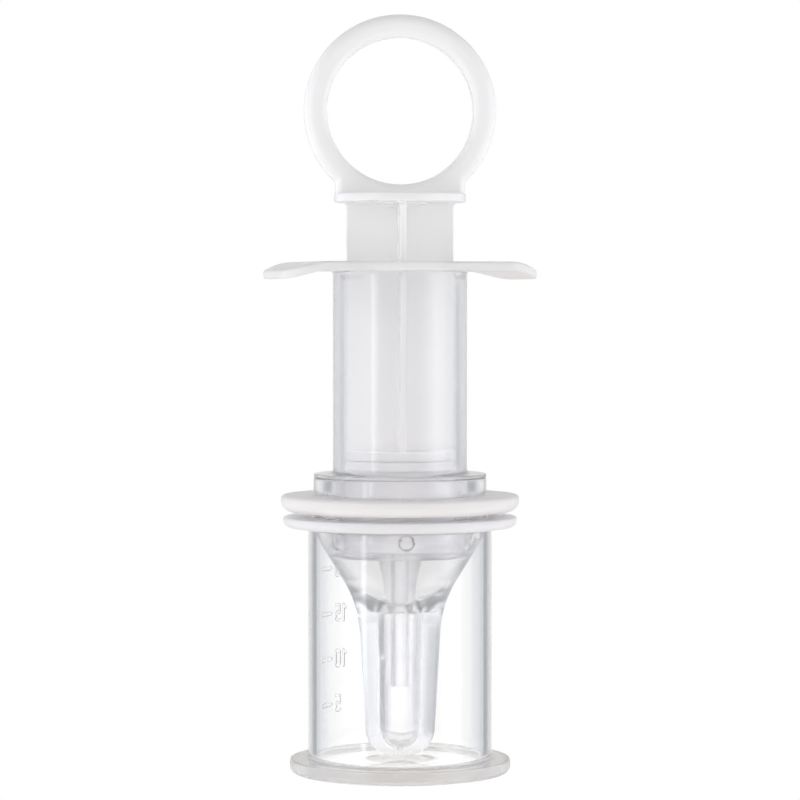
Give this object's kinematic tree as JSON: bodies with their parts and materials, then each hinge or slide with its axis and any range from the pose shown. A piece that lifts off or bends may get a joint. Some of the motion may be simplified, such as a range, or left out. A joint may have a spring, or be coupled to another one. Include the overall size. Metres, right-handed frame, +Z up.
{
  "type": "medicine dropper",
  "caption": "Ring-handled plunger medicine dropper: finger-flanged clear barrel with nozzle, silicone feeding nipple, piston seal, and a clear measuring cup it stands in.",
  "frame": {"origin": "centre of the measuring cup's foot, on the surface that it stands on", "axes": "+Z up the common axis of cup, nipple, barrel and plunger; the finger ring is seen face on from -Y, with +X to that viewer's right"},
  "size_m": [0.0462, 0.0404, 0.1282],
  "materials": {
    "cup_plastic": "clear moulded polypropylene, glossy",
    "nipple_silicone": "clear silicone rubber, smooth",
    "barrel_plastic": "clear moulded polypropylene, glossy",
    "seal_silicone": "frosted silicone rubber",
    "plunger_plastic": "milky natural polypropylene, satin"
  },
  "bodies": {
    "measuring_cup": {"measuring_cup": "cup_plastic"},
    "nipple": {"nipple": "nipple_silicone"},
    "barrel": {"barrel": "barrel_plastic"},
    "piston_seal": {"piston_seal": "seal_silicone"},
    "plunger": {"plunger": "plunger_plastic"}
  },
  "joints": [
    {"name": "nipple_lift", "type": "slide", "parent": "measuring_cup", "child": "nipple", "axis": [0, 0, 1], "range_m": [0, 0.045]},
    {"name": "barrel_pull", "type": "slide", "parent": "nipple", "child": "barrel", "axis": [0, 0, 1], "range_m": [0, 0.038]},
    {"name": "plunger_draw", "type": "slide", "parent": "barrel", "child": "piston_seal", "axis": [0, 0, 1], "range_m": [0, 0.034]},
    {"name": "plunger_turn", "type": "hinge", "parent": "piston_seal", "child": "plunger", "pos_m": [0, 0, 0.05], "axis": [0, 0, 1], "continuous": true}
  ]
}
